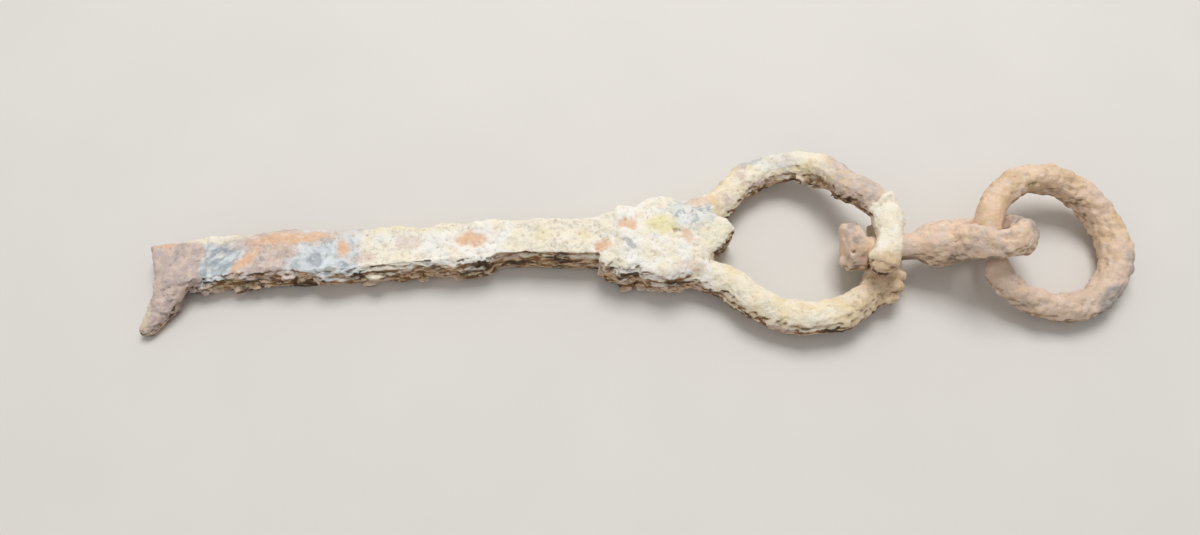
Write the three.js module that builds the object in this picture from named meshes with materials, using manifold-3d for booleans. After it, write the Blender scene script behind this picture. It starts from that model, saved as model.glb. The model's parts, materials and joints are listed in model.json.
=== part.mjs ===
// A forged iron key whose bow carries a swivel and an open ring, lying flat.
// Millimetres. X runs along the shank from the bit to the ring, Y across it, Z up.

import * as THREE from 'three';
import { mergeVertices } from 'three/addons/utils/BufferGeometryUtils.js';
import Module from 'manifold-3d';

const wasm = await Module();
wasm.setup();

// Fits between the pieces
const seamGap = 0.3;
const boreClearance = 0.5;
const floorClearance = 0.1;

// Bit: a flat blade lapped over the shank's end, with one tooth that narrows to a point
const bitLength = 10.5;
const bitEndHalfWidth = 3;
const bitThickness = 5;
const bitBevel = 0.6;
const lapLength = 5;
const lapHeight = 2.5;
const toothReach = 12.5;
const toothRootStart = 1.9;
const toothRootWidth = 5.5;
const toothTipStart = -0.2;
const toothTipWidth = 1.6;
const toothShoulder = 0.6;
const toothBackCurve = 0.5;
const toothFrontCurve = 2.2;
const toothTipThickness = 2.2;

// Shank: a flat-topped bar, narrowest at its waist and thickest at the collar
const shankLength = 72.5;
const shankHalfWidth = 4.5;
const waistNarrowing = 1.3;
const waistFromCollar = 20;
const shankEndThickness = 6.2;
const shankEndLift = 0.6;
const shankBevel = 0.8;

// Tenon that carries the collar and enters the head plate
const tenonWidth = 5.4;
const tenonHeight = 3.6;
const tenonDepth = 5;
const tenonRoot = 1;

// Collar: a bead round the tenon
const collarLength = 3.8;
const collarWidth = 13.6;
const collarHeight = 8.2;
const collarBevel = 1.3;
const headShift = -0.7;

// Head plate: swells behind the collar and ends in a spur between the arms
const plateBottom = 0.4;
const plateThickness = 6.9;
const plateBevel = 1.1;
const plateStartHalfWidth = 6.7;
const plateHalfWidth = 7.7;
const plateNearSwell = 1;
const plateFarSwell = 2.6;
const plateShoulderDrop = 0.5;
const plateLength = 8.4;
const plateCoreHalfWidth = 4.6;
const spurLength = 9;
const spurRootLength = 3.6;
const spurTipSide = 1.1;

// Bow: two round arms that meet one above the other at the far end
const bowRadius = 15.5;
const rodRadius = 2.9;
const bowFromCollar = 29.6;
const armRootZ = 3.7;
const armRootSide = 5;
const armRootRun = 2.2;
const armRootSpread = 0.5;
const armJoinAngle = 146;
const armRiseStart = 110;
const armRiseEnd = 18;
const upperArmEndAngle = -36;
const lowerArmEndAngle = 8;
const upperTipRadius = 2.3;
const armTaperStart = 0.5;
const upperLapInset = 0.95;
const upperFlatDepth = 2.3;
const upperFlatAngle = 42;
const upperFlatSpread = 22;

// Swivel: a pin between the lapped arms, a head inside the bow and an eye outside it
const boreAngle = -14.5;
const boreZ = 6.4;
const pinRadius = 2.4;
const swivelYaw = 1.5;
const swivelPitch = 4.5;
const headRadius = 4.6;
const headLength = 3.8;
const headEccentricity = 0.6;
const headBevel = 1.3;
const headStandOff = 2.1;
const rivetLength = 0.4;
const neckRadius = 2.5;
const neckLength = 1.2;
const bodyRadius = 3.8;
const eyeFromBore = 16.9;
const eyeHoleRadius = 3.9;
const eyeThickness = 6.6;
const strandRadius = 2.15;

// Ring: round wire, open beside the eye and thickest opposite to it
const ringRadius = 12.5;
const ringHalfWidth = 12;
const wireRadius = 2.45;
const wireSwell = 0.45;
const ringSeat = 16.9;
const ringLean = 17;
const ringYaw = -6.5;
const ringWarp = 0.6;
const ringFreeEndAngle = 206;
const ringHiddenEndAngle = 192;

// Fineness of the round forms
const rodSides = 14;
const armSteps = 34;
const arcSteps = 14;
const ringSteps = 44;
const boreSides = 28;
const headSides = 22;
const pinSides = 18;
const eyeSides = 12;
const eyeSteps = 30;
const settlingSteps = 40;

// Places that follow from the sizes
const collarStart = bitLength + shankLength;
const plateStart = collarStart + collarLength + seamGap;
const bowCentre = new THREE.Vector2(collarStart + collarLength + bowFromCollar, headShift);
const bore = pointOnBow(boreAngle);
const swivelRestSpin = restingSpin();
const ringDroop = restingDroop();

function radians(degrees) {
  return THREE.MathUtils.degToRad(degrees);
}

function pointOnBow(degrees, inset = 0) {
  const angle = radians(degrees);
  const reach = new THREE.Vector2(Math.cos(angle), Math.sin(angle));
  return reach.multiplyScalar(bowRadius - inset).add(bowCentre);
}

function heightOnAxis(along) {
  return boreZ + along * Math.sin(radians(swivelPitch));
}

// Turns something from flat until its clear height over the surface is used up
function settledTurn(clearHeightAt) {
  let above = 0;
  let below = Math.PI / 2;
  for (let i = 0; i < settlingSteps; i += 1) {
    const middle = (above + below) / 2;
    if (clearHeightAt(middle) > 0) {
      above = middle;
    } else {
      below = middle;
    }
  }
  return above;
}

// The eye leans until its lower strand meets the surface that the key lies on
function restingSpin() {
  return -settledTurn((spin) => {
    const drop = (eyeHoleRadius + strandRadius) * Math.sin(spin);
    const under = Math.hypot(strandRadius * Math.sin(spin), eyeThickness * Math.cos(spin) / 2);
    return heightOnAxis(eyeFromBore) - floorClearance - drop - under;
  });
}

// A point of the ring's wire, counted from the wire's middle in the eye. The ring isn't flat:
// it is warped, which lets the wire pass over the eye's lower strand and under the upper one.
function ringPoint(degrees, target = new THREE.Vector3()) {
  const angle = radians(degrees);
  target.set(ringRadius * (1 + Math.cos(angle)), ringHalfWidth * Math.sin(angle), 0);
  target.z = -ringWarp * Math.sin(2 * angle);
  return target;
}

function ringAngle(share) {
  return THREE.MathUtils.lerp(ringFreeEndAngle, ringHiddenEndAngle + 360, share);
}

function wireRadiusAt(share) {
  return wireRadius + wireSwell * Math.sin(Math.PI * share) ** 2;
}

// Turns the ring from its flat drawing to its place on the wire's axis in the eye
function ringTurn(droop) {
  const warpAngle = Math.atan2(2 * ringWarp, ringHalfWidth);
  const turn = new THREE.Matrix4().makeRotationX(-warpAngle);
  return turn.premultiply(new THREE.Matrix4().makeRotationY(droop));
}

function swivelAxisTurn() {
  return new THREE.Euler(0, -radians(swivelPitch), radians(swivelYaw), 'ZYX');
}

function ringHingeTurn() {
  return new THREE.Euler(radians(ringLean), 0, radians(ringYaw), 'ZYX');
}

// The ring hangs down from the eye until its lowest point meets that surface
function restingDroop() {
  const hinge = new THREE.Matrix4().makeRotationFromEuler(swivelAxisTurn());
  hinge.multiply(new THREE.Matrix4().makeRotationFromEuler(ringHingeTurn()));
  return settledTurn((droop) => {
    const turn = hinge.clone().multiply(ringTurn(droop));
    let low = Infinity;
    for (let i = 0; i <= ringSteps; i += 1) {
      const place = ringPoint(ringAngle(i / ringSteps)).applyMatrix4(turn);
      low = Math.min(low, place.z - wireRadiusAt(i / ringSteps));
    }
    return low + heightOnAxis(ringSeat) - floorClearance;
  });
}

// Solids are made from closed geometries whose shared corners are merged. At the poles of
// turned forms some triangles shrink to nothing, and those are left out.
function solid(geometry) {
  const bare = geometry.clone();
  bare.deleteAttribute('normal');
  bare.deleteAttribute('uv');
  const merged = mergeVertices(bare, 1e-4);
  const corners = merged.index.array;
  const triangles = [];
  for (let i = 0; i < corners.length; i += 3) {
    const [a, b, c] = corners.slice(i, i + 3);
    if (a !== b && b !== c && c !== a) {
      triangles.push(a, b, c);
    }
  }
  const mesh = new wasm.Mesh({
    numProp: 3,
    vertProperties: new Float32Array(merged.attributes.position.array),
    triVerts: new Uint32Array(triangles),
  });
  return new wasm.Manifold(mesh);
}

function geometryOf(manifold) {
  const mesh = manifold.getMesh();
  const geometry = new THREE.BufferGeometry();
  geometry.setAttribute('position', new THREE.BufferAttribute(mesh.vertProperties, 3));
  geometry.setIndex(new THREE.BufferAttribute(mesh.triVerts, 1));
  geometry.computeVertexNormals();
  return geometry;
}

// A box given by its lowest and highest corners
function block(low, high) {
  const size = new THREE.Vector3().subVectors(high, low);
  const centre = new THREE.Vector3().addVectors(low, high).multiplyScalar(0.5);
  const geometry = new THREE.BoxGeometry(size.x, size.y, size.z);
  geometry.translate(centre.x, centre.y, centre.z);
  return geometry;
}

// A flat shape made into a slab from z = 0 up, its edges bevelled inside its outline
function slab(shape, thickness, bevel, bevelSegments = 1, curveSegments = 8) {
  const geometry = new THREE.ExtrudeGeometry(shape, {
    depth: thickness - 2 * bevel,
    bevelEnabled: true,
    bevelThickness: bevel,
    bevelSize: bevel,
    bevelOffset: -bevel,
    bevelSegments,
    curveSegments,
  });
  geometry.translate(0, 0, bevel);
  return geometry;
}

// Moves each corner of a slab to its share of the height between two surfaces
function fitHeights(geometry, thickness, bottomAt, topAt) {
  const position = geometry.attributes.position;
  for (let i = 0; i < position.count; i += 1) {
    const x = position.getX(i);
    const y = position.getY(i);
    const share = position.getZ(i) / thickness;
    position.setZ(i, THREE.MathUtils.lerp(bottomAt(x, y), topAt(x, y), share));
  }
  return geometry;
}

function circleShape(radius, sides) {
  const points = [];
  for (let i = 0; i < sides; i += 1) {
    const angle = (2 * Math.PI * i) / sides;
    points.push(new THREE.Vector2(radius * Math.cos(angle), radius * Math.sin(angle)));
  }
  return new THREE.Shape(points);
}

// A closed rod along a path, with its radius given for each share of the path's length
function rod(path, radiusAt, steps) {
  const geometry = new THREE.TubeGeometry(path, steps, 1, rodSides);
  const position = geometry.attributes.position;
  const perRing = rodSides + 1;
  const place = new THREE.Vector3();
  for (let i = 0; i < position.count; i += 1) {
    const share = Math.floor(i / perRing) / steps;
    const middle = path.getPointAt(share);
    place.fromBufferAttribute(position, i).sub(middle);
    place.multiplyScalar(radiusAt(share)).add(middle);
    position.setXYZ(i, place.x, place.y, place.z);
  }
  const corners = Array.from(geometry.index.array);
  const last = steps * perRing;
  for (let i = 1; i < rodSides - 1; i += 1) {
    corners.push(0, i, i + 1);
    corners.push(last, last + i + 1, last + i);
  }
  geometry.setIndex(corners);
  return geometry;
}

function turnedOnX(profile, sides) {
  const geometry = new THREE.LatheGeometry(profile, sides);
  geometry.rotateZ(-Math.PI / 2);
  return geometry;
}

function bitShape() {
  const toothRootEnd = toothRootStart + toothRootWidth;
  const root = -shankHalfWidth - toothShoulder;
  const middle = -(toothReach + shankHalfWidth) / 2;
  const shape = new THREE.Shape();
  shape.moveTo(0, bitEndHalfWidth);
  shape.lineTo(toothRootStart, -bitEndHalfWidth);
  shape.quadraticCurveTo(toothRootStart - toothBackCurve, middle, toothTipStart, -toothReach);
  shape.lineTo(toothTipStart + toothTipWidth, -toothReach);
  shape.quadraticCurveTo(toothRootEnd - toothFrontCurve, middle, toothRootEnd, root);
  shape.lineTo(bitLength, -shankHalfWidth);
  shape.lineTo(bitLength, shankHalfWidth);
  return shape;
}

function makeBit() {
  const blade = slab(bitShape(), bitThickness, bitBevel);
  const thinning = (bitThickness - toothTipThickness) / (toothReach - shankHalfWidth);
  const bottomAt = () => 0;
  const topAt = (x, y) => bitThickness + Math.min(0, y + shankHalfWidth) * thinning;
  fitHeights(blade, bitThickness, bottomAt, topAt);
  const lap = block(
    new THREE.Vector3(bitLength - lapLength - seamGap, -2 * shankHalfWidth, -bitThickness),
    new THREE.Vector3(2 * bitLength, 2 * shankHalfWidth, lapHeight + seamGap / 2),
  );
  return geometryOf(solid(blade).subtract(solid(lap)));
}

function shankShape() {
  const start = bitLength - lapLength;
  const end = collarStart - seamGap;
  const waist = collarStart - waistFromCollar;
  const edge = new THREE.SplineCurve([
    new THREE.Vector2(end, -shankHalfWidth),
    new THREE.Vector2(waist, waistNarrowing - shankHalfWidth),
    new THREE.Vector2((start + waist) / 2, waistNarrowing / 2 - shankHalfWidth),
    new THREE.Vector2(bitLength, -shankHalfWidth),
  ]);
  const shape = new THREE.Shape();
  shape.moveTo(start, -shankHalfWidth);
  shape.lineTo(start, shankHalfWidth);
  shape.lineTo(end, shankHalfWidth);
  for (const point of edge.getPoints(12)) {
    shape.lineTo(point.x, point.y);
  }
  return shape;
}

function makeShank() {
  const bar = slab(shankShape(), bitThickness, shankBevel);
  const along = (x) => THREE.MathUtils.clamp((x - bitLength) / shankLength, 0, 1);
  const bottomAt = (x) => shankEndLift * along(x);
  const topAt = (x) => bitThickness + (shankEndLift + shankEndThickness - bitThickness) * along(x);
  fitHeights(bar, bitThickness, bottomAt, topAt);
  const overlap = block(
    new THREE.Vector3(-bitLength, -2 * shankHalfWidth, lapHeight - seamGap / 2),
    new THREE.Vector3(bitLength + seamGap, 2 * shankHalfWidth, 2 * bitThickness),
  );
  return geometryOf(solid(bar).subtract(solid(overlap)).add(solid(tenonBlock(0))));
}

// The tenon's own solid, or with a margin the hole that takes it
function tenonBlock(margin) {
  const middle = shankEndLift + shankEndThickness / 2;
  return block(
    new THREE.Vector3(
      collarStart - 2 * seamGap - tenonRoot,
      -tenonWidth / 2 - margin,
      middle - tenonHeight / 2 - margin,
    ),
    new THREE.Vector3(
      plateStart + tenonDepth + margin,
      tenonWidth / 2 + margin,
      middle + tenonHeight / 2 + margin,
    ),
  );
}

function makeCollar() {
  const halfWidth = collarWidth / 2;
  const corner = collarHeight / 4;
  const shape = new THREE.Shape();
  shape.moveTo(-halfWidth + corner, 0);
  shape.lineTo(halfWidth - corner, 0);
  shape.absarc(halfWidth - corner, corner, corner, -Math.PI / 2, 0, false);
  shape.absarc(halfWidth - corner, collarHeight - corner, corner, 0, Math.PI / 2, false);
  shape.absarc(corner - halfWidth, collarHeight - corner, corner, Math.PI / 2, Math.PI, false);
  shape.absarc(corner - halfWidth, corner, corner, Math.PI, Math.PI * 1.5, false);
  const bead = slab(shape, collarLength, collarBevel, 3, 4);
  bead.rotateX(Math.PI / 2);
  bead.rotateZ(Math.PI / 2);
  bead.translate(collarStart, headShift, 0);
  return geometryOf(solid(bead).subtract(solid(tenonBlock(seamGap))));
}

function headPlateShape() {
  const shoulder = plateStart + plateLength;
  const swell = plateStart + plateLength / 2;
  const spurRoot = shoulder + spurRootLength;
  const shape = new THREE.Shape();
  shape.moveTo(plateStart, -plateStartHalfWidth);
  const side = plateHalfWidth - plateShoulderDrop;
  shape.quadraticCurveTo(swell, -plateHalfWidth - plateNearSwell, shoulder, -side);
  shape.lineTo(shoulder, -plateCoreHalfWidth);
  shape.lineTo(spurRoot, -plateCoreHalfWidth);
  shape.lineTo(shoulder + spurLength, spurTipSide);
  shape.quadraticCurveTo(spurRoot + spurRootLength, plateCoreHalfWidth, spurRoot, plateCoreHalfWidth);
  shape.lineTo(shoulder, plateCoreHalfWidth);
  shape.lineTo(shoulder, side);
  shape.quadraticCurveTo(swell, plateHalfWidth + plateFarSwell, plateStart, plateStartHalfWidth);
  return shape;
}

function makeHeadPlate() {
  const plate = slab(headPlateShape(), plateThickness, plateBevel, 2, 5);
  plate.translate(0, headShift, plateBottom);
  let body = solid(plate).subtract(solid(tenonBlock(seamGap)));
  for (const side of [1, -1]) {
    body = body.subtract(solid(armRod(side, seamGap)));
  }
  return geometryOf(body);
}

// The upper arm is flattened on its way down to the lap, and ends a little inside the lower one
function upperArmInset(angle) {
  const draw = THREE.MathUtils.smoothstep(armRiseStart - angle, 0, armRiseStart - armRiseEnd);
  const fromFlat = (angle - upperFlatAngle) / upperFlatSpread;
  return upperLapInset * draw + upperFlatDepth * Math.exp(-fromFlat * fromFlat);
}

// Arm centreline: out of the plate's flank, round the bow, and up or down at the lap
function armPath(side) {
  const endAngle = side > 0 ? upperArmEndAngle : -lowerArmEndAngle;
  const tipRadius = side > 0 ? upperTipRadius : rodRadius;
  const lapZ = boreZ + side * (tipRadius + seamGap / 2);
  const rootX = plateStart + plateLength + seamGap;
  const runEndSide = armRootSide + armRootSpread;
  const points = [
    new THREE.Vector3(rootX, headShift + side * armRootSide, armRootZ),
    new THREE.Vector3(rootX + armRootRun, headShift + side * runEndSide, armRootZ),
  ];
  for (let i = 0; i <= arcSteps; i += 1) {
    const angle = THREE.MathUtils.lerp(armJoinAngle, endAngle, i / arcSteps);
    const rise = THREE.MathUtils.smoothstep(armRiseStart - angle, 0, armRiseStart - armRiseEnd);
    const place = pointOnBow(side * angle, side > 0 ? upperArmInset(angle) : 0);
    points.push(new THREE.Vector3(place.x, place.y, THREE.MathUtils.lerp(armRootZ, lapZ, rise)));
  }
  return new THREE.CatmullRomCurve3(points, false, 'centripetal');
}

function swivelBore() {
  const length = 6 * rodRadius;
  const geometry = new THREE.CylinderGeometry(
    pinRadius + boreClearance,
    pinRadius + boreClearance,
    length,
    boreSides,
  );
  geometry.rotateZ(-Math.PI / 2);
  geometry.rotateY(-radians(swivelPitch));
  geometry.rotateZ(radians(swivelYaw));
  geometry.translate(bore.x, bore.y, boreZ);
  return geometry;
}

function armRod(side, margin) {
  const tipRadius = side > 0 ? upperTipRadius : rodRadius;
  const radiusAt = (share) => {
    const taper = THREE.MathUtils.smoothstep(share, armTaperStart, 1);
    return THREE.MathUtils.lerp(rodRadius, tipRadius, taper) + margin;
  };
  return rod(armPath(side), radiusAt, armSteps);
}

function makeArm(side) {
  const arm = solid(armRod(side, 0));
  return geometryOf(arm.subtract(solid(swivelBore())));
}

// Places on the pin's axis, counted from the head's outer face towards the shank
function shankward(distance) {
  return -rodRadius - headStandOff - distance;
}

function makeSwivelHead() {
  const shape = circleShape(headRadius, headSides);
  const drum = slab(shape, headLength, headBevel);
  drum.rotateY(Math.PI / 2);
  drum.translate(shankward(headLength), headEccentricity, 0);
  const hole = turnedOnX([
    new THREE.Vector2(0, shankward(2 * headLength)),
    new THREE.Vector2(pinRadius + seamGap, shankward(2 * headLength)),
    new THREE.Vector2(pinRadius + seamGap, headLength),
    new THREE.Vector2(0, headLength),
  ], boreSides);
  return geometryOf(solid(drum).subtract(solid(hole)));
}

function pinProfile() {
  const shoulder = rodRadius + boreClearance;
  const bodyStart = shoulder + neckLength;
  const bodyEnd = eyeFromBore - eyeHoleRadius - seamGap;
  const swell = new THREE.SplineCurve([
    new THREE.Vector2(neckRadius, bodyStart),
    new THREE.Vector2(bodyRadius, (2 * bodyStart + bodyEnd) / 3),
    new THREE.Vector2(bodyRadius, bodyEnd - strandRadius),
    new THREE.Vector2(eyeThickness / 2, bodyEnd),
  ]);
  return [
    new THREE.Vector2(0, shankward(headLength + rivetLength)),
    new THREE.Vector2(pinRadius, shankward(headLength + rivetLength)),
    new THREE.Vector2(pinRadius, shoulder),
    ...swell.getPoints(7),
    new THREE.Vector2(0, bodyEnd),
  ];
}

function makeSwivelPin() {
  const eyeRadius = eyeHoleRadius + strandRadius;
  const eye = new THREE.TorusGeometry(eyeRadius, strandRadius, eyeSides, eyeSteps);
  eye.scale(1, 1, eyeThickness / (2 * strandRadius));
  eye.translate(eyeFromBore, 0, 0);
  const pin = turnedOnX(pinProfile(), pinSides);
  return geometryOf(solid(eye).add(solid(pin)));
}

class RingPath extends THREE.Curve {
  getPoint(t, target) {
    return ringPoint(ringAngle(t), target);
  }
}

function makeRing() {
  const wire = rod(new RingPath(), wireRadiusAt, ringSteps);
  return geometryOf(solid(wire.applyMatrix4(ringTurn(ringDroop))));
}

function iron(color, roughness, metalness) {
  return new THREE.MeshStandardMaterial({ color, roughness, metalness });
}

const limedIron = iron(0xd8cbb0, 0.9, 0.05);
const mauveRust = iron(0xa89690, 0.9, 0.1);
const tanRust = iron(0xb89c7c, 0.92, 0.1);
const mottledIron = iron(0xc4bdb0, 0.88, 0.15);

function piece(name, geometry, material) {
  const mesh = new THREE.Mesh(geometry, material);
  mesh.name = name;
  return mesh;
}

function makeKey() {
  const key = new THREE.Group();
  key.add(
    piece('bit', makeBit(), mauveRust),
    piece('shank', makeShank(), mottledIron),
    piece('collar', makeCollar(), limedIron),
    piece('head_plate', makeHeadPlate(), limedIron),
    piece('bow_upper_arm', makeArm(1), limedIron),
    piece('bow_lower_arm', makeArm(-1), limedIron),
  );
  return key;
}

// The swivel's own X is the pin's axis, and the ring's own Y the wire's axis in the eye
function makeSwivel() {
  const axis = new THREE.Group();
  axis.position.set(bore.x, bore.y, boreZ);
  axis.rotation.copy(swivelAxisTurn());
  const spun = new THREE.Group();
  spun.rotation.x = swivelRestSpin;
  spun.add(piece('swivel_pin', makeSwivelPin(), tanRust));
  const head = piece('swivel_head', makeSwivelHead(), tanRust);
  const hinge = new THREE.Group();
  hinge.position.x = ringSeat;
  hinge.rotation.copy(ringHingeTurn());
  hinge.add(piece('ring', makeRing(), tanRust));
  axis.add(spun, head, hinge);
  return axis;
}

// The origin is the middle of the key's length and width, on the surface that it lies on
function atOrigin(group) {
  group.updateMatrixWorld(true);
  const box = new THREE.Box3().setFromObject(group, true);
  const centre = box.getCenter(new THREE.Vector3());
  group.position.set(-centre.x, -centre.y, -box.min.z);
  return group;
}

const part = new THREE.Group();
part.add(makeKey(), makeSwivel());
atOrigin(part);

export default part;
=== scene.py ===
"""A forged iron key with a swivel and an open ring, thick with rust and lime, on a pale floor.

Every piece starts from the merged copy of a solid of the frame, is fused with its flakes and lumps,
softened and roughened, and takes a finish whose patches lie at set places.

Places are (x, y, z) in the frame's axes: X runs along the shank from the bit to the ring, Y across
it and away from the bit's tooth, Z up from the floor. Places, sizes and distances written as
numbers are millimetres, and MM turns them into the metres that Blender's operators take.
"""

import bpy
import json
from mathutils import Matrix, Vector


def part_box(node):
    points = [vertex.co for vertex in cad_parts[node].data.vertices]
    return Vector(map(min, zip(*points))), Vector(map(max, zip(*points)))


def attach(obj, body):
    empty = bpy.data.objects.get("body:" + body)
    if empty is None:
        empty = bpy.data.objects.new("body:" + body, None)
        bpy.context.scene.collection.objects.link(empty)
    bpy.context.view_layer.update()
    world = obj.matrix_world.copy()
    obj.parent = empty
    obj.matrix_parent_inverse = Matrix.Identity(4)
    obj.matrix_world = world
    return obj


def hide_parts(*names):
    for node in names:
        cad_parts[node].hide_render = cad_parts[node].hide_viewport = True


bl_info = {
    "name": "Rusted iron key",
    "version": (1, 1, 0),
    "blender": (4, 5, 0),
    "location": "3D View > Sidebar > Iron Key",
    "description": "Dresses the forged key in rust and lime crust and sets up its studio",
    "category": "Object",
}

import json
import math
import random

import bpy
from mathutils import Euler, Vector

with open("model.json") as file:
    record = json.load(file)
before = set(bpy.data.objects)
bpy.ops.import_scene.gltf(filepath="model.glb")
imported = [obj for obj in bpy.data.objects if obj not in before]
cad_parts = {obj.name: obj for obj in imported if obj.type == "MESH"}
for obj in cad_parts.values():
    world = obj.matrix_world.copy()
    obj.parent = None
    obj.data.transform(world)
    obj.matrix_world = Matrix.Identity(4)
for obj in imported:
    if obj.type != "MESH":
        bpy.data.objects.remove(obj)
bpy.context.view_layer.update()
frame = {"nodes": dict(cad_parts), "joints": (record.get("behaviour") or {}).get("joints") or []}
MM = 0.001
TINY = 0.001 * MM  # Points closer than this are one
JOINTS = {joint["name"]: joint for joint in frame["joints"]}
PIN_PLACE = Vector(JOINTS["swivel_spin"]["pos_m"]) / MM
PIN_AXIS = Vector(JOINTS["swivel_spin"]["axis"])
WIRE_PLACE = Vector(JOINTS["ring_swing"]["pos_m"]) / MM
WIRE_AXIS = Vector(JOINTS["ring_swing"]["axis"])
BOTH_ARMS = ("bow_upper_arm", "bow_lower_arm")


def srgb(hex_code):
    """A display colour such as 0xE6DABF as linear red, green and blue."""
    shares = [(hex_code >> shift & 255) / 255 for shift in (16, 8, 0)]
    return [s / 12.92 if s <= 0.04045 else ((s + 0.055) / 1.055) ** 2.4 for s in shares]


def length(name, description, default):
    """A length property whose default is given in millimetres."""
    return bpy.props.FloatProperty(
        name=name,
        description=description,
        default=default * MM,
        precision=6,
        unit="LENGTH",
        subtype="DISTANCE",
    )


def colour(name, description, default):
    """A colour property whose default is given as a display colour."""
    return bpy.props.FloatVectorProperty(
        name=name, description=description, default=srgb(default), size=3, subtype="COLOR"
    )


class IronKeySurface(bpy.types.PropertyGroup):
    """How rough the forged surface is."""

    mesh_step: length("Mesh step", "Edge length of the finished meshes", 0.22)
    swell: length("Swell", "How far the bar's solids are swollen before they are fused", 0.25)
    wave_depth: length("Wave depth", "Height of the longest unevenness", 1.2)
    wave_width: length("Wave width", "Size of the longest unevenness", 7)
    lump_depth: length("Lump depth", "Height of the lumps in the crust", 0.9)
    lump_width: length("Lump width", "Size of the lumps in the crust", 2.2)
    grit_depth: length("Grit depth", "Height of the grains in the crust", 0.35)
    grit_width: length("Grit width", "Size of the grains in the crust", 0.8)
    nodule_depth: length("Nodule depth", "Height of the rust nodules", 0.75)
    nodule_width: length("Nodule width", "Distance between the rust nodules", 1.7)
    plate_depth: length("Plate depth", "Step between the rust plates on the sides", 0.75)
    plate_width: length("Plate width", "Height of the rust plates on the sides", 0.9)


class IronKeyColours(bpy.types.PropertyGroup):
    """The colours of the crust and the rust."""

    lime: colour("Lime", "Palest lime crust", 0xF7F3EA)
    # Cream also gives the painted highlights along the bar's far edge near the bit.
    cream: colour("Cream", "Cream crust on the head and shank", 0xF4EAD4)
    straw: colour("Straw", "Yellowish cream of the arms", 0xF0DFBA)
    tan: colour("Tan", "Tan rust of the swivel and ring", 0xD9BB97)
    peach: colour("Peach", "Pale rust of the swivel", 0xEBCDB1)
    pink: colour("Pink", "Pinkish rust between the patches", 0xD9C3B6)
    mauve: colour("Mauve", "Mauve-brown rust of the bit", 0xC2B1AA)
    grey: colour("Grey", "Grey scale on the swivel and ring", 0x9E9A98)
    blue_grey: colour("Blue-grey", "Bare iron scale of the shank", 0xA3ACB1)
    ice: colour("Ice", "Bluish white bloom on the scale", 0xDCE2E5)
    orange: colour("Orange", "Orange rust spots", 0xE9BE99)
    olive: colour("Olive", "Yellow-olive stains", 0xEAE0AC)
    # Brown and dark serve as rust and also as painted shade: in the recesses, in the gaps between
    # flakes, on the upper arm's inner side and in the plate's dent; brown also as a painted shadow
    # between the drum and the arms.
    brown: colour("Brown", "Brown rust of the flakes", 0x86623F)
    dark: colour("Dark", "Dark rust in the recesses", 0x33251C)


class IronKeyStudio(bpy.types.PropertyGroup):
    """Floor, lamps and camera."""

    floor: colour("Floor", "Colour of the floor", 0xDEDAD4)
    lamp_power: bpy.props.FloatProperty(
        name="Lamp", description="Power of the large lamp behind", default=2.6, unit="POWER"
    )
    fill_power: bpy.props.FloatProperty(
        name="Fill", description="Power of the lamp in front", default=0.35, unit="POWER"
    )
    sky: bpy.props.FloatProperty(
        name="Sky", description="Strength of the light from all round", default=0.42
    )
    distance: length("Distance", "From the camera to the point it looks at", 158.2)
    elevation: bpy.props.FloatProperty(
        name="Elevation",
        description="Height of the camera above the floor as an angle",
        default=math.radians(63),
        unit="ROTATION",
        subtype="ANGLE",
    )
    turn: bpy.props.FloatProperty(
        name="Turn",
        description="How far the camera stands turned against the key",
        default=math.radians(-2.7),
        unit="ROTATION",
        subtype="ANGLE",
    )
    lens: bpy.props.FloatProperty(
        name="Lens",
        description="Focal length on a 36 mm wide picture",
        default=26.01,
        unit="CAMERA",
    )


# Making the pieces


def pick(*pieces):
    """Selects these objects alone and makes the first the active one."""
    bpy.ops.object.select_all(action="DESELECT")
    for piece in pieces:
        piece.select_set(True)
    bpy.context.view_layer.objects.active = pieces[0]


def edit(piece, *steps):
    """Runs edit-mode steps on all of a piece, which is selected again before each."""
    pick(piece)
    bpy.ops.object.mode_set(mode="EDIT")
    for step in steps:
        bpy.ops.mesh.select_all(action="SELECT")
        step()
    bpy.ops.object.mode_set(mode="OBJECT")
    return piece


def merge():
    """Joins the loose triangles of a solid's mesh at their shared corners."""
    bpy.ops.mesh.remove_doubles(threshold=TINY)


def copy_of(source, name):
    """A piece of its own with a copy of another's mesh."""
    piece = bpy.data.objects.new(name, source.data.copy())
    bpy.context.scene.collection.objects.link(piece)
    piece.data.name = name
    piece.data.materials.clear()
    return piece


def copy_of_node(node, name):
    """A merged copy of one of the frame's solids."""
    return edit(copy_of(frame["nodes"][node], name), merge)


def cut(piece, place, normal):
    """Cuts away what lies on the normal's side of a plane and closes the cut."""

    def bisect():
        bpy.ops.mesh.bisect(
            plane_co=Vector(place) * MM,
            plane_no=normal,
            use_fill=True,
            clear_outer=True,
            threshold=TINY,
        )

    return edit(piece, bisect)


def apply(piece, kind, **settings):
    """Adds a modifier with its settings and applies it."""
    modifier = piece.modifiers.new(kind, kind)
    for name, value in settings.items():
        setattr(modifier, name, value)
    pick(piece)
    bpy.ops.object.modifier_apply(modifier=modifier.name)


def weigh(piece, name, rule):
    """A vertex group with weights from each point's place in millimetres and its normal."""
    group = piece.vertex_groups.new(name=name)
    for vertex in piece.data.vertices:
        weight = rule(vertex.co / MM, vertex.normal)
        if weight > 0:
            group.add([vertex.index], min(weight, 1), "REPLACE")
    return name


def swell(piece, amount, rule=None, direction="NORMAL"):
    """Moves the surface out along its normals, by a share of the amount where a rule is given."""
    group = weigh(piece, "swell", rule) if rule else ""
    apply(
        piece, "DISPLACE", strength=amount, mid_level=0, vertex_group=group, direction=direction
    )
    piece.vertex_groups.clear()


def push(piece, direction, most, distance):
    """Moves points along an axis by a rule's distance, from 0 to the most.

    With a negative most they move back along it.
    """
    swell(piece, most * MM, lambda co, _normal: distance(co) / abs(most), direction)


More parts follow.
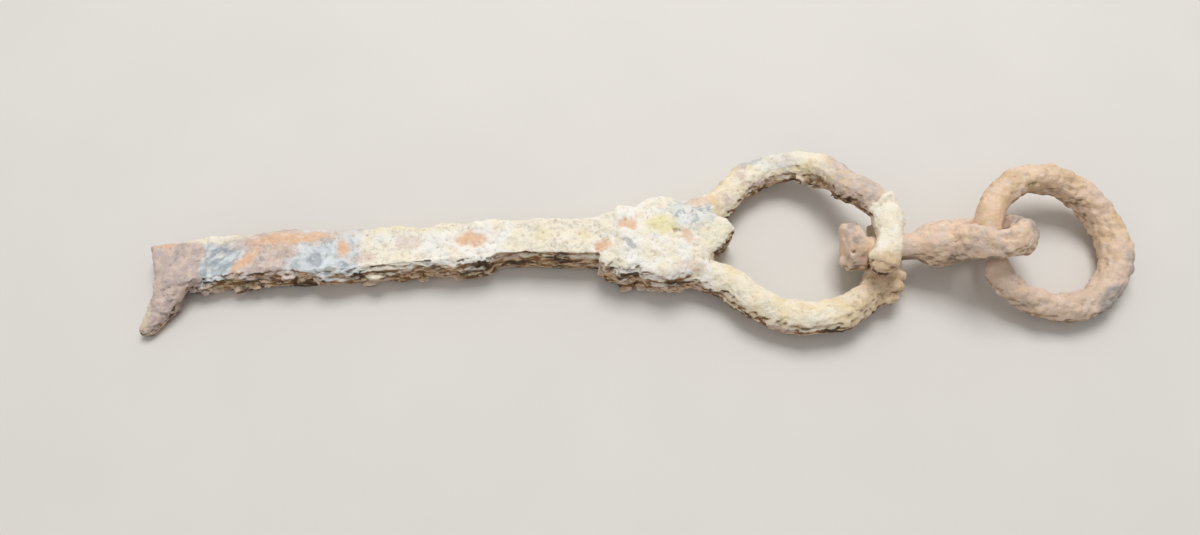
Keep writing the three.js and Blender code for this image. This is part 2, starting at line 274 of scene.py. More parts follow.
def soften(piece, passes, rule=None):
    """Smooths the form, by a share where a rule is given."""
    group = weigh(piece, "soften", rule) if rule else ""
    apply(piece, "SMOOTH", factor=0.5, iterations=passes, vertex_group=group)
    piece.vertex_groups.clear()
    return piece


def smoothstep(value, low, high):
    """0 at low, 1 at high and smooth between; falling where low is the higher."""
    share = min(max((value - low) / (high - low), 0), 1)
    return share * share * (3 - 2 * share)


def band(value, low, high, soft):
    """1 between two values, and fading to 0 over the soft width outside them."""
    return smoothstep(value, low - soft, low) * smoothstep(value, high + soft, high)


def near(place, reach):
    """A rule that is 1 at a place and fades out at its reach."""
    middle = Vector(place)

    def rule(co, _normal):
        return max(0, 1 - ((co - middle).length / reach) ** 2) ** 2

    return rule


def from_pin(co):
    """Distance from the axis that the swivel's pin turns on."""
    return (co - PIN_PLACE).cross(PIN_AXIS).length


def along_pin(co):
    """How far along the pin's axis a point lies, from the middle of the arms outwards."""
    return (co - PIN_PLACE).dot(PIN_AXIS)


def seat(co):
    """Where along the pin's axis the arms begin, at a point's distance from that axis.

    Around the pin they are sunk, then they stand out, and further away they slope back.
    """
    reach = from_pin(co)
    sunk, rim, full = 2.7, -4, -4.64
    if reach < sunk:
        return -3.5
    return max(rim - 0.8 * (reach - sunk), full) - 0.85 * max(reach - 4.2, 0)


def step_place(x, y):
    """Grows along the upper arm. From 22 on lies its end, which is paler and stands out."""
    return 0.6 * x - 0.8 * y


def from_wire(co):
    """The way to a point from the axis that the ring swings on, square to it."""
    way = co - WIRE_PLACE
    return way - WIRE_AXIS * way.dot(WIRE_AXIS)


def off_wire(co):
    """0 in the eye's hole and 1 clear of it."""
    return smoothstep(from_wire(co).length, 4, 5)


def in_eye(co, normal):
    """1 on the wall of the eye's hole."""
    way = from_wire(co)
    along = (co - WIRE_PLACE).dot(WIRE_AXIS)
    facing = smoothstep(-way.normalized().dot(normal), 0.5, 0.9)
    return facing * smoothstep(way.length, 5, 4.4) * smoothstep(abs(along), 3.4, 1.8)


def joined(pieces, name):
    """Makes one object of several, without fusing them."""
    pick(*pieces)
    bpy.ops.object.join()
    pieces[0].name = pieces[0].data.name = name
    return pieces[0]


def keep_largest(piece):
    """Removes closed bubbles and crumbs that fusing can leave."""
    pick(piece)
    name = piece.name
    bpy.ops.mesh.separate(type="LOOSE")
    parts = sorted(bpy.context.selected_objects, key=lambda part: len(part.data.vertices))
    largest = parts.pop()
    for part in parts:
        bpy.data.objects.remove(part)
    largest.name = largest.data.name = name
    return largest


def fuse(pieces, name, passes):
    """Fuses overlapping solids into one skin and softens its edges."""
    surface = bpy.context.scene.iron_key_surface
    piece = joined(pieces, name)
    apply(piece, "REMESH", mode="VOXEL", voxel_size=surface.mesh_step)
    return soften(keep_largest(piece), passes)


def lump(place, size, turn=(0, 0, 0)):
    """A pebble with the given size along each axis."""
    bpy.ops.object.select_all(action="DESELECT")
    bpy.ops.mesh.primitive_ico_sphere_add(
        subdivisions=2, radius=0.5, location=Vector(place) * MM, rotation=turn
    )
    made = bpy.context.object
    made.scale = Vector(size) * MM
    bpy.ops.object.transform_apply()
    return made


def flakes_on(piece, chance, count, along, heights, size=(3.2, 1.1, 0.8)):
    """Thin flakes of rust, lying along X, on the near side of a piece, which faces -Y."""
    made = []
    outwards = Vector((0, -1, 0))
    beside = -40  # Where the rays that look for the surface start
    for _ in range(count):
        x = chance.uniform(*along)
        z = chance.uniform(*heights)
        start = Vector((x, beside, z)) * MM
        hit, place, _normal, _face = piece.ray_cast(start, -outwards)
        if not hit:
            continue
        sizes = [part * chance.uniform(0.6, 1.3) for part in size]
        turn = [chance.uniform(-0.25, 0.25) for _ in range(3)]
        out = chance.uniform(0, 0.45)
        made.append(lump(place / MM + outwards * out, sizes, turn))
    return made


def texture(name, kind, width, **settings):
    """A pattern for roughening, made once and used again."""
    made = bpy.data.textures.get(name) or bpy.data.textures.new(name, kind)
    made.noise_scale = width
    for setting, value in settings.items():
        setattr(made, setting, value)
    return made


def roughen(piece, calm=None, plated=None, nodules=None):
    """Waves, lumps and grains all over, with plates and nodules of rust where their rules say.

    The calm rule gives the share of the depths that is kept, such as where pieces turn in
    each other. Close to the floor the surface stays calm too.
    """
    surface = bpy.context.scene.iron_key_surface

    def kept(co, normal):
        share = calm(co, normal) if calm else 1
        return share * (0.25 + 0.75 * smoothstep(co.z, 0.2, 2))

    calm_group = weigh(piece, "calm", kept)
    layers = [
        (texture("waves", "CLOUDS", surface.wave_width, noise_depth=1), surface.wave_depth),
        (texture("lumps", "CLOUDS", surface.lump_width, noise_depth=2), surface.lump_depth),
        (texture("grains", "CLOUDS", surface.grit_width, noise_depth=2), surface.grit_depth),
    ]
    for pattern, depth in layers:
        displace(piece, pattern, depth, calm_group)
    if nodules:
        knobs = texture("nodules", "VORONOI", surface.nodule_width, noise_intensity=1)
        displace(piece, knobs, -surface.nodule_depth, weigh(piece, "nodules", nodules))
    if plated:
        plates = texture(
            "plates",
            "VORONOI",
            surface.plate_width,
            distance_metric="DISTANCE_SQUARED",
            color_mode="POSITION",
        )
        bpy.ops.object.select_all(action="DESELECT")
        bpy.ops.object.empty_add()
        grain = bpy.context.object
        grain.scale = (4, 1, 1)  # Long along X, as the layers of rust are
        bpy.context.view_layer.update()
        displace(piece, plates, surface.plate_depth, weigh(piece, "plated", plated), grain)
        bpy.data.objects.remove(grain)
    piece.vertex_groups.clear()


def displace(piece, pattern, depth, group, grain=None):
    """Moves the surface by a texture, which lies in the grain's own space if one is given."""
    space = {"texture_coords": "OBJECT", "texture_coords_object": grain}
    if grain is None:
        space = {"texture_coords": "LOCAL"}
    apply(
        piece,
        "DISPLACE",
        texture=pattern,
        strength=depth,
        mid_level=0.5,
        vertex_group=group,
        **space,
    )


def finish_piece(piece, node, body, finish):
    """Lifts what would lie under the floor, checks that the piece is closed and hands it over."""
    lowest = 0.02
    push(piece, "Z", 1, lambda co: lowest - co.z)
    pick(piece)
    bpy.ops.object.shade_smooth()
    faces_at = {}
    for polygon in piece.data.polygons:
        for edge in polygon.edge_keys:
            faces_at[edge] = faces_at.get(edge, 0) + 1
    if any(count != 2 for count in faces_at.values()):
        raise RuntimeError(f"{piece.name} isn't closed")
    piece.data.materials.append(finish)
    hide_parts(node)
    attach(piece, body)


# Wiring the finishes


class Value:
    """A shader value that can be used in a sum, a product and so on."""

    def __init__(self, paint, socket):
        self.paint = paint
        self.socket = socket

    def __add__(self, other):
        return self.paint.maths("ADD", self, other)

    __radd__ = __add__

    def __sub__(self, other):
        return self.paint.maths("SUBTRACT", self, other)

    def __mul__(self, other):
        return self.paint.maths("MULTIPLY", self, other)

    __rmul__ = __mul__

    def __abs__(self):
        return self.paint.maths("ABSOLUTE", self, 0)

    def between(self, low, high):
        """0 below low, 1 above high, smooth between; falling where low is the higher."""
        return self.paint.node(
            "ShaderNodeMapRange",
            {"interpolation_type": "SMOOTHSTEP"},
            {"Value": self, "From Min": low, "From Max": high},
        )


class Paint:
    """One material and the nodes that are added to it."""

    def __init__(self, name):
        self.material = bpy.data.materials.new(name)
        self.material.use_nodes = True
        self.tree = self.material.node_tree
        self.tree.nodes.clear()
        place = self.node("ShaderNodeTexCoord", output="Object")
        self.place = self.vector("SCALE", place, Scale=1 / MM)

    def node(self, kind, settings=None, inputs=None, output=0):
        """Adds a node, sets it, feeds its sockets by name or number and returns an output."""
        made = self.tree.nodes.new(kind)
        for name, value in (settings or {}).items():
            setattr(made, name, value)
        for name, value in (inputs or {}).items():
            socket = made.inputs[name]
            if isinstance(value, Value):
                self.tree.links.new(value.socket, socket)
            elif hasattr(socket.default_value, "__len__") and len(socket.default_value) == 4:
                socket.default_value = [*value][:3] + [1]
            else:
                socket.default_value = value
        return Value(self, made.outputs[output])

    def finished(self, shader):
        """Gives the shader to the material's surface and returns the material."""
        output = self.tree.nodes.new("ShaderNodeOutputMaterial")
        self.tree.links.new(shader.socket, output.inputs["Surface"])
        return self.material

    def maths(self, operation, a, b):
        """A sum of two values."""
        return self.node("ShaderNodeMath", {"operation": operation}, {0: a, 1: b})

    def vector(self, operation, a, b=None, **inputs):
        """A sum of vectors, whose other inputs are given by name."""
        feeds = {0: a, **inputs}
        if b is not None:
            feeds[1] = b
        output = "Value" if operation in ("LENGTH", "DOT_PRODUCT") else "Vector"
        return self.node("ShaderNodeVectorMath", {"operation": operation}, feeds, output)

    def mix(self, a, b, share):
        """Two colours, from a at 0 to b at 1."""
        settings = {"data_type": "RGBA", "clamp_result": True}
        return self.node("ShaderNodeMix", settings, {0: share, 6: a, 7: b}, 2)

    def along(self, axis, place=None):
        """How far along one axis a place lies."""
        return self.node("ShaderNodeSeparateXYZ", None, {0: place or self.place}, "XYZ".index(axis))

    def grained(self, turn, stretch):
        """The place turned about Z and stretched along X, Y and Z, for streaky patterns."""
        return self.node(
            "ShaderNodeMapping",
            {"vector_type": "TEXTURE"},
            {"Vector": self.place, "Rotation": (0, 0, turn), "Scale": stretch},
        )

    def noise(self, width, detail=2, place=None, output="Fac"):
        """Cloudy noise with features about as wide as given."""
        feeds = {
            "Vector": place or self.place,
            "Scale": 1 / width,
            "Detail": detail,
            "Roughness": 0.55,
        }
        return self.node("ShaderNodeTexNoise", None, feeds, output)

    def specks(self, width, rarity):
        """1 in small uneven specks that come in clusters."""
        clusters = self.noise(width * 6, 2).between(0.42, 0.6)
        return self.noise(width, 3).between(rarity, rarity + 0.06) * clusters

    def veins(self, width, thickness=0.03):
        """1 on thin wandering lines."""
        return abs(self.noise(width, 3) - 0.5).between(thickness, 0)

    def spot(self, place, centre, half, turn=0):
        """1 inside a turned ellipsoid and 0 outside, with a soft edge."""
        local = self.node(
            "ShaderNodeMapping",
            {"vector_type": "TEXTURE"},
            {"Vector": place, "Location": centre, "Rotation": (0, 0, turn), "Scale": half},
        )
        return self.vector("LENGTH", local).between(1.3, 0.65)


def rusted(name, recipe, side_rust_and_shade=1.0, side_level=0.35, bloom=0.35, low_rust=0.0, specks=1.0):
    """Rust and crust over iron.

    The recipe gives the colour of the upper side. side_rust_and_shade is how strongly the sides
    that face down and towards the bit's tooth, away from the lamp, are covered with torn rust
    flakes and painted shade, and side_level how far they must face that way. bloom is the share
    of pale lime in the mottling, low_rust that of tan near the floor, and specks that of the grey
    and brown specks.
    """
    colours = bpy.context.scene.iron_key_colours
    paint = Paint(name)
    stray = paint.vector("SUBTRACT", paint.noise(1.8, 3, output="Color"), (0.5, 0.5, 0.5))
    strayed = paint.vector("ADD", paint.place, paint.vector("SCALE", stray, Scale=2.4))
    shade = recipe(paint, strayed, colours)

    # Mottling and specks all over
    shade = paint.mix(shade, colours.lime, paint.noise(1.1, 4).between(0.5, 0.7) * bloom)
    shade = paint.mix(shade, colours.tan, paint.noise(2.6, 4).between(0.54, 0.72) * 0.3)
    shade = paint.mix(shade, colours.grey, paint.specks(0.6, 0.6) * (0.35 * specks))
    shade = paint.mix(shade, colours.brown, paint.specks(0.9, 0.63) * (0.45 * specks))

    # Tan layers near the floor
    low = (paint.along("Z") + (paint.noise(1.5, 3) - 0.5) * 2).between(4.6, 3.2)
    layers = paint.noise(1.4, 4, paint.grained(0, (3, 1, 1)))
    low_tint = paint.mix(colours.tan, colours.brown, layers.between(0.48, 0.64) * 0.7)
    shade = paint.mix(shade, low_tint, low * low_rust)

    # Torn rust flakes on the sides that face down and towards the bit's tooth, away from the lamp:
    # partly rust and partly painted shade, with painted shadow in the dark gaps
    normal = paint.node("ShaderNodeTexCoord", output="Normal")
    away_from_light = paint.vector("DOT_PRODUCT", normal, (0, -0.75, -0.66))
    streaks = paint.noise(0.8, 4, paint.grained(0, (3.5, 1, 1)))
    flank_rust_and_shade = (away_from_light + (streaks - 0.5) * 1.1).between(side_level - 0.2, side_level + 0.2)
    patchy = paint.noise(2.2, 3, paint.grained(0, (2.5, 1, 1)))
    flakes = paint.mix(colours.tan, colours.brown, streaks.between(0.43, 0.55))
    flakes = paint.mix(flakes, colours.pink, patchy.between(0.54, 0.64) * 0.8)
    flakes = paint.mix(flakes, colours.dark, patchy.between(0.49, 0.41) * 0.85)
    shade = paint.mix(shade, flakes, flank_rust_and_shade * side_rust_and_shade)

    # Dark rust and painted shade in the recesses, and lime on the ridges
    bend = paint.node("ShaderNodeNewGeometry", output="Pointiness")
    recess_rust_and_shade = (bend + (paint.noise(0.9, 2) - 0.5) * 0.03).between(0.49, 0.44)
    shade = paint.mix(shade, colours.brown, recess_rust_and_shade * 0.6)
    shade = paint.mix(shade, colours.dark, bend.between(0.45, 0.4) * 0.8)
    shade = paint.mix(shade, colours.lime, bend.between(0.53, 0.58) * 0.3)

    grain = paint.noise(0.3, 3)
    crust = paint.noise(0.9, 4)
    bump = paint.node(
        "ShaderNodeBump",
        None,
        {"Strength": 0.8, "Distance": 0.45 * MM, "Height": grain * 0.4 + crust * 0.6},
    )
    principled = paint.node(
        "ShaderNodeBsdfPrincipled",
        None,
        {
            "Base Color": shade,
            "Roughness": 0.84 + (crust - 0.5) * 0.25,
            "Normal": bump,
            "Specular IOR Level": 0.3,
        },
    )
    return paint.finished(principled)


def spotted(paint, shade, place, spots):
    """Adds soft-edged spots to a shade.

    Each is a row of centre, half sizes, turn about Z, colour, strength and the halo's colour.
    """
    for centre, half, turn, tint, strength, halo in spots:
        if halo:
            wide = [1.6 * part for part in half]
            shade = paint.mix(shade, halo, paint.spot(place, centre, wide, turn) * 0.75)
        shade = paint.mix(shade, tint, paint.spot(place, centre, half, turn) * strength)
    return shade


def bar_recipe(paint, place, colours):
    """Mauve rust on the bit, then blue-grey, pinkish and icy zones, and cream up to the head."""
    x = paint.along("X", place)
    y = paint.along("Y", place)

    def zone(low, high, soft=0.8):
        """1 between two places along X."""
        return x.between(low - soft, low + soft) * x.between(high + soft, high - soft)

    streaks = paint.noise(1.3, 4, paint.grained(0.75, (3.2, 1, 1)))
    streaked = paint.mix(colours.blue_grey, colours.ice, streaks.between(0.4, 0.66))
    streaked = paint.mix(streaked, colours.lime, paint.noise(2.4, 4).between(0.52, 0.66) * 0.7)
    icy = paint.mix(colours.ice, colours.blue_grey, paint.noise(2.2, 4).between(0.48, 0.62))
    icy = paint.mix(icy, colours.lime, paint.noise(1.5, 4).between(0.5, 0.64) * 0.8)
    pinkish = paint.mix(colours.pink, colours.mauve, paint.noise(2, 4).between(0.45, 0.6))
    pinkish = paint.mix(pinkish, colours.ice, paint.noise(1.4, 4).between(0.54, 0.66) * 0.7)
    speckled = paint.mix(colours.cream, colours.mauve, paint.noise(1, 4).between(0.5, 0.7) * 0.6)

    shade = paint.mix(colours.cream, colours.lime, paint.noise(5, 3).between(0.42, 0.6))
    shade = paint.mix(shade, colours.straw, y.between(2.2, 4.6) * zone(-52, -34, 3) * 0.6)
    shade = paint.mix(shade, speckled, zone(-20, -7, 2) * 0.8)
    bit_rust = paint.mix(colours.mauve, colours.pink, paint.noise(2.5, 4).between(0.44, 0.6))
    bit_rust = paint.mix(bit_rust, colours.grey, paint.noise(1.7, 4).between(0.55, 0.68) * 0.6)
    shade = paint.mix(shade, bit_rust, zone(-100, -77.6))
    shade = paint.mix(shade, streaked, zone(-77.9, -69.5))
    shade = paint.mix(shade, pinkish, zone(-70.3, -60.5))
    shade = paint.mix(shade, icy, zone(-61, -50, 1.2))
    shade = paint.mix(shade, colours.blue_grey, paint.veins(4, 0.02) * zone(-50, -6, 1) * 0.35)
    return spotted(paint, shade, place, [
        ((-84.4, 4.1, 5), (2.4, 0.8, 2), 0.02, colours.orange, 0.8, None),
        # The cream stripes along the far edge, here and at -74.5, are painted highlights.
        ((-79, 5, 5), (3.5, 0.8, 2), 0.1, colours.cream, 0.8, None),
        ((-87.2, -9, 3), (1.2, 3.5, 3), -0.1, colours.straw, 0.5, None),
        ((-74.5, 4.4, 5), (5.5, 1.1, 2.5), 0.08, colours.cream, 0.9, None),
        ((-69.9, -0.4, 5), (3.6, 1, 2.5), 0.85, colours.orange, 0.8, colours.pink),
        ((-62.5, 3.5, 5), (7.5, 1.1, 2.5), 0.03, colours.orange, 0.85, colours.pink),
        ((-60, -1.6, 5), (2, 1, 2.5), 0, colours.blue_grey, 0.7, colours.ice),
        ((-52.9, 0.9, 5.3), (1.2, 1.9, 2), 0, colours.orange, 0.9, colours.ice),
        ((-57.6, -0.8, 5), (1.8, 1.4, 2.5), 0, colours.blue_grey, 0.8, colours.ice),
        ((-49.5, -1.2, 5), (3, 1.2, 2.5), 0.05, colours.pink, 0.6, None),
        ((-41.2, 1.6, 6), (2.6, 1.6, 2), 0, colours.pink, 0.55, None),
        ((-30.3, 1.5, 6), (3.1, 1.4, 2), -0.05, colours.orange, 0.9, colours.lime),
        ((-17.5, 1.7, 6), (2, 1.5, 2), 0, colours.olive, 0.45, None),
        ((-10, 1.2, 6), (1.2, 1.9, 2), -0.2, colours.olive, 0.4, None),
        ((-6.8, -1.2, 7), (1.5, 1.2, 2.5), 0, colours.orange, 0.85, colours.lime),
    ])


def head_recipe(paint, place, colours):
    """Cream and lime crust with blue-grey veins towards the bow, and orange and olive spots."""
    shade = paint.mix(colours.cream, colours.lime, paint.noise(4, 3).between(0.42, 0.6))
    veined = paint.spot(place, (9, 4.5, 6), (5, 4, 6), 0.3)
    shade = paint.mix(shade, colours.ice, veined * 0.6)
    shade = paint.mix(shade, colours.blue_grey, veined * paint.veins(3.5, 0.04) * 0.65)
    scaly = paint.noise(1.5, 4).between(0.5, 0.7)
    shade = paint.mix(shade, colours.blue_grey, veined * scaly * 0.7)
    shade = paint.mix(shade, colours.mauve, paint.veins(3.4, 0.012) * 0.4)
    return spotted(paint, shade, place, [
        ((-2.3, 2.3, 7), (2, 1.4, 2.5), 0, colours.orange, 0.85, colours.lime),
        ((-2.4, -1.6, 7.5), (1.6, 0.6, 2), -0.7, colours.blue_grey, 0.7, None),
        ((3.9, 2.2, 7.3), (3, 2.4, 2), -0.2, colours.olive, 0.85, None),
        # Painted shade in the small dent on the plate.
        ((5.8, 1.1, 7.3), (0.9, 0.6, 1), -0.5, colours.brown, 0.6, None),
        ((7.9, -0.4, 7.3), (1, 1.7, 2), 0.4, colours.orange, 0.65, None),
        ((10.9, 7, 5), (3, 1.5, 3), 0.2, colours.orange, 0.6, None),
        ((13, 0.4, 6), (3.4, 2.6, 3), 0, colours.olive, 0.4, None),
        ((8, -6, 7), (3, 1, 3), 0, colours.pink, 0.5, None),
    ])


def arm_recipe(paint, place, colours):
    """Cream to straw crust, pinkish rust before the upper arm's end and tan under the lap."""
    shade = paint.mix(colours.cream, colours.straw, paint.noise(4, 4).between(0.42, 0.62))
    y = paint.along("Y", place)
    far = y.between(3, 9)
    stained = paint.mix(colours.pink, colours.mauve, paint.noise(1.6, 4).between(0.45, 0.62))
    shade = paint.mix(shade, stained, far * paint.noise(3, 4).between(0.5, 0.62) * 0.8)
    x = paint.along("X", place)
    shade = paint.mix(shade, colours.tan, x.between(30, 42) * y.between(-3, -9) * 0.9)
    step = step_place(x, y)
    pinkish = paint.mix(colours.pink, colours.mauve, paint.noise(2, 4).between(0.45, 0.62))
    pinkish = paint.mix(pinkish, colours.tan, paint.noise(1.6, 4).between(0.5, 0.62) * 0.7)
    shade = paint.mix(shade, pinkish, x.between(32.5, 36) * step.between(22.8, 22) * 0.85)
    pale = paint.mix(colours.cream, colours.lime, paint.noise(2.5, 3).between(0.5, 0.68))
    shade = paint.mix(shade, pale, step.between(21.8, 22.6) * y.between(-8.5, -5) * 0.9)
    return spotted(paint, shade, place, [
        ((26, 16.5, 6), (6, 3, 6), -0.1, colours.ice, 0.5, None),
        ((21.5, 17, 6), (3, 2, 6), 0.4, colours.blue_grey, 0.55, None),
        ((38.8, 12.2, 8), (4.5, 1.6, 6), -0.9, colours.mauve, 0.8, None),
        ((31.5, 16, 8), (3.4, 2, 6), -0.3, colours.cream, 0.7, None),
        # The brown spot here and the dark one below are painted shade in the crevice along the
        # upper arm's inner side.
        ((34.4, 9.4, 5), (4, 1.6, 3.5), -0.6, colours.brown, 0.9, None),
        ((38.6, 4.5, 6), (1.2, 2.4, 3.5), 0.2, colours.dark, 0.75, None),
        ((41, -9, 9.5), (3, 1.6, 4), 0.2, colours.tan, 0.9, None),
        ((12, 7, 4), (3.5, 1.6, 4), 0.3, colours.orange, 0.5, None),
        # A painted shadow in the gap between the drum and the arms.
        ((40.5, 1.5, 5), (2.5, 2.5, 2.5), 0, colours.brown, 0.4, None),
    ])


def swivel_recipe(paint, place, colours):
    """Pale peach to pinkish rust with a few grey patches."""
    shade = paint.mix(colours.peach, colours.pink, paint.noise(3, 4).between(0.46, 0.64) * 0.8)
    shade = paint.mix(shade, colours.mauve, paint.noise(1.8, 4).between(0.55, 0.7) * 0.5)
    shade = paint.mix(shade, colours.straw, paint.noise(1.6, 4).between(0.56, 0.72) * 0.5)
    return spotted(paint, shade, place, [
        ((67, -2, 12), (3, 4, 5), 0, colours.grey, 0.7, None),
        ((37.2, -0.6, 9.5), (1.5, 1.3, 3), 0.4, colours.grey, 0.6, None),
        ((36.8, -4, 10), (0.9, 0.9, 3), 0, colours.grey, 0.45, None),
        ((52, -5, 6), (3, 2, 4), 0, colours.straw, 0.4, None),
    ])


def ring_recipe(paint, place, colours):
    """Tan to peach rust, more pink on the near side, with grey patches low on the ring."""
    shade = paint.mix(colours.tan, colours.peach, paint.noise(4, 4).between(0.4, 0.6))
    shade = paint.mix(shade, colours.pink, paint.noise(2.4, 4).between(0.5, 0.68) * 0.7)
    shade = paint.mix(shade, colours.straw, paint.noise(1.2, 3).between(0.58, 0.74) * 0.5)
    shade = paint.mix(shade, colours.pink, paint.along("Y", place).between(0, -12) * 0.5)
    return spotted(paint, shade, place, [
        ((81, -14.2, 3), (4, 2, 4), 0.5, colours.grey, 0.8, None),
        ((86, -8, 3), (1.8, 3, 4), 0, colours.grey, 0.55, None),
        ((84, 5, 6), (3, 3, 5), 0, colours.pink, 0.6, None),
    ])


def shank_side(co, normal):
    """How much the near side and, less so, the far side of the bar is broken into plates."""
    spalled = band(co.x, -26, -8, 2)
    near_side = smoothstep(-normal.y, 0.25, 0.8) * (0.9 - 0.5 * spalled)
    far_side = smoothstep(normal.y, 0.4, 0.9) * 0.55
    return (near_side + far_side) * smoothstep(co.x, 6, 2) * smoothstep(co.z, 0, 1)


class OBJECT_OT_iron_key_bar(bpy.types.Operator):
    """Fuses the bit, shank, collar and head plate, and parts them again along their seams"""

    bl_idname = "object.iron_key_bar"
    bl_label = "Bit, shank, collar and head plate"

    def execute(self, context):
        surface = context.scene.iron_key_surface
        solids = [copy_of_node(node, node) for node in ("bit", "shank", "collar", "head_plate")]
        for solid in solids:
            swell(solid, surface.swell)
        solids.append(self.collar_filler())
        # Sleeves carry the plate over the roots of the arms and thin out along them
        sleeve_end, sleeve_start = 16, 7
        for node in BOTH_ARMS:
            sleeve = cut(copy_of_node(node, node), (sleeve_end, 0, 0), (1, 0, 0))
            swell(sleeve, 1.1 * MM, lambda co, _normal: smoothstep(co.x, sleeve_end, sleeve_start))
            swell(sleeve, -0.35 * MM)
            solids.append(sleeve)
        bar = fuse(solids, "bar", 8)
        soften(bar, 30, lambda co, _normal: band(co.x, -5.5, 18, 2))
        self.shape(bar)
        bar = fuse([bar, *self.flakes(bar)], "bar", 1)
        roughen(bar, plated=shank_side)
        self.part(bar)
        bpy.data.objects.remove(bar)
        return {"FINISHED"}

    def collar_filler(self):
        """A stretched copy of the collar that fills the grooves beside it."""
        filler = copy_of_node("collar", "collar_filler")
        low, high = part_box("collar")

        def stretch():
            bpy.ops.transform.resize(value=(2.6, 0.88, 0.9), center_override=(low + high) / 2)

        return edit(filler, stretch)

    def shape(self, bar):
        """Domes the plate, sinks and swells stretches of the near side and dents the top."""
        swell(bar, 0.5 * MM, near((6, 1, 8), 8))

        def near_side(start, end, soft):
            return lambda co, normal: band(co.x, start, end, soft) * smoothstep(-normal.y, 0.1, 0.7)

        swell(bar, -0.9 * MM, near_side(-25.5, -8, 1.2))
        swell(bar, 0.45 * MM, near_side(-60, -27.5, 1.5))
        dents = [
            ((16.2, 5.4, 5.5), 1.6, 0.8),
            ((-14, 2.4, 6.6), 2.2, 0.25),
            ((6, 1, 7.8), 1.2, 0.4),
        ]
        for place, reach, depth in dents:
            swell(bar, -depth * MM, near(place, reach))

    def flakes(self, bar):
        """Flakes on the near side, where the rust comes off in layers."""
        chance = random.Random(7)
        made = flakes_on(bar, chance, 12, (-80.5, -74.5), (0.9, 3.6))
        made += flakes_on(bar, chance, 9, (-71.5, -65.5), (1.2, 3.6))
        made += flakes_on(bar, chance, 16, (-66, -50), (3, 4.4), (3, 0.8, 0.7))
        made += flakes_on(bar, chance, 26, (-50, -25.5), (0.9, 4.2))
        made += flakes_on(bar, chance, 14, (-3.5, 6), (1, 4.5), (2.4, 0.9, 0.8))
        return made

    def part(self, bar):
        """Cuts the fused bar along the seams and hands over the pieces."""
        beyond = 100
        bit_seam, collar_seam, plate_seam = -77.42, -4.92, -0.82
        head = rusted("head_crust", head_recipe, low_rust=0.8, specks=0.6)
        bit = rusted("bit_rust", bar_recipe, side_level=0.5, bloom=0.15)
        shank = rusted("shank_crust", bar_recipe, side_level=0.25, low_rust=0.8, specks=0.6)
        parts = [
            ("bit", -beyond, bit_seam, "bit_iron", bit),
            ("shank", bit_seam, collar_seam, "shank_iron", shank),
            ("collar", collar_seam, plate_seam, "head_iron", head),
            ("head_plate", plate_seam, beyond, "head_iron", head),
        ]
        for node, start, end, slot, finish in parts:
            piece = copy_of(bar, "rusted_" + node)
            cut(piece, (start, 0, 0), (-1, 0, 0))
            cut(piece, (end, 0, 0), (1, 0, 0))
            finish_piece(piece, node, "key", finish)


class OBJECT_OT_iron_key_bow(bpy.types.Operator):
    """Makes the two round arms of the bow"""

    bl_idname = "object.iron_key_bow"
    bl_label = "Arms of the bow"

    def execute(self, context):
        finish = rusted("arm_crust", arm_recipe, bloom=0.25, specks=0.7)
        for node in BOTH_ARMS:
            upper = node == "bow_upper_arm"
            arm = copy_of_node(node, node)
            if upper:
                chance = random.Random(11)
                extras = flakes_on(arm, chance, 10, (30, 37.5), (3, 6.5), (2.6, 1.1, 0.9))
                extras.append(lump((40.7, -8.5, 8.7), (3.8, 3.4, 4.2)))
            else:
                extras = [
                    lump((43.6, -10.3, 4.4), (3.4, 3, 3.2), (0.3, 0.5, 0.6)),
                    lump((45, -8.2, 4.2), (2, 2.6, 3), (0.5, 0, 0.9)),
                    lump((42.9, -12.2, 3.6), (2.8, 2, 2.2), (0, 0.3, 0.9)),
                ]
            arm = fuse([arm, *extras], "rusted_" + node, 4)
            if upper:
                swell(arm, 0.5 * MM, self.pale_end)
            nodules = None if upper else self.near_the_lap
            roughen(arm, calm=self.off_pin_and_root, plated=self.torn_sides, nodules=nodules)
            push(arm, "X", 2, self.before_seat)
            finish_piece(arm, node, "key", finish)
        return {"FINISHED"}

    def off_pin_and_root(self, co, _normal):
        """Calm round the pin's holes and where the arms run into the plate."""
        off_pin = max(smoothstep(from_pin(co), 3.2, 4.6), smoothstep(co.x, 37, 34))
        return off_pin * smoothstep(co.x, 7, 11) * 0.8 + 0.05

    def torn_sides(self, co, normal):
        """Plates on the inner side of the upper arm and the outer side of the lower arm."""
        upper = smoothstep(co.y, 0, 4) * smoothstep(-normal.y, 0.1, 0.7)
        lower = smoothstep(co.y, 0, -4) * smoothstep(-normal.y, 0.2, 0.8)
        sides = max(upper, lower) * smoothstep(normal.z, 0.7, 0.2)
        return sides * smoothstep(co.x, 38, 34) * smoothstep(co.x, 8, 14) * 0.6

    def near_the_lap(self, co, _normal):
        """Nodules on the lower arm where it runs in under the upper one."""
        off_pin = smoothstep(from_pin(co), 3.4, 5)
        return off_pin * smoothstep(co.x, 28, 38) * smoothstep(co.y, 0, -6) * 0.9

    def before_seat(self, co):
        """How far the arms stand out past their seat, where the swivel's head turns."""
        near_pin = -9 < along_pin(co) < -3 and from_pin(co) < 6.2
        return seat(co) - along_pin(co) if near_pin else 0

    def pale_end(self, co, normal):
        """The upper arm's end stands out past a step."""
        past_step = smoothstep(step_place(co.x, co.y), 22, 22.6)
        off_pin = smoothstep(from_pin(co), 3.2, 4.6)
        return past_step * off_pin * smoothstep(normal.z, -0.1, 0.4)


